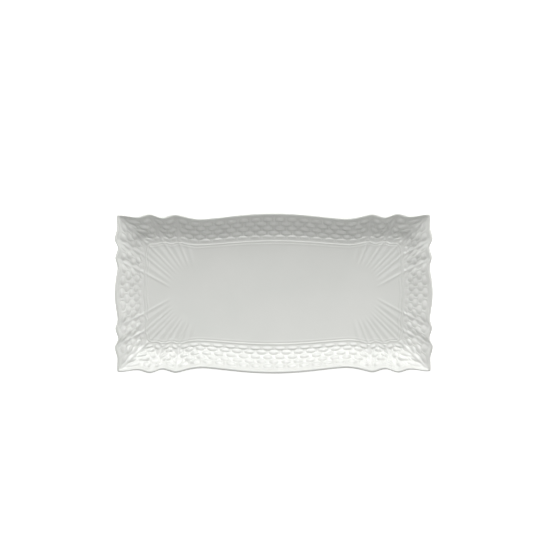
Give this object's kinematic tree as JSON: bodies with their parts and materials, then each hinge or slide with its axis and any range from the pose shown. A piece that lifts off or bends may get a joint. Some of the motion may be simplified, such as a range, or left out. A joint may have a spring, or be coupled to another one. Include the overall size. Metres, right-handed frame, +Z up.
{
  "type": "serving platter",
  "caption": "Oblong white porcelain serving platter with a wavy rim, woven relief on its sloping border, a flat well and a standing foot.",
  "frame": {"origin": "centre of the plane that the foot ring stands on, under the middle of the well", "axes": "+X along the long sides, +Y across the platter towards its back side, +Z up out of the well"},
  "size_m": [0.352, 0.1784, 0.026],
  "materials": {
    "glazed_porcelain": "glossy white glaze",
    "bare_porcelain": "unglazed, matte"
  },
  "bodies": {
    "root": {"well_floor": "glazed_porcelain", "back_border": "glazed_porcelain", "front_border": "glazed_porcelain", "left_border": "glazed_porcelain", "right_border": "glazed_porcelain", "back_lip": "glazed_porcelain", "front_lip": "glazed_porcelain", "left_lip": "glazed_porcelain", "right_lip": "glazed_porcelain", "foot_ring": "bare_porcelain"}
  },
  "joints": []
}
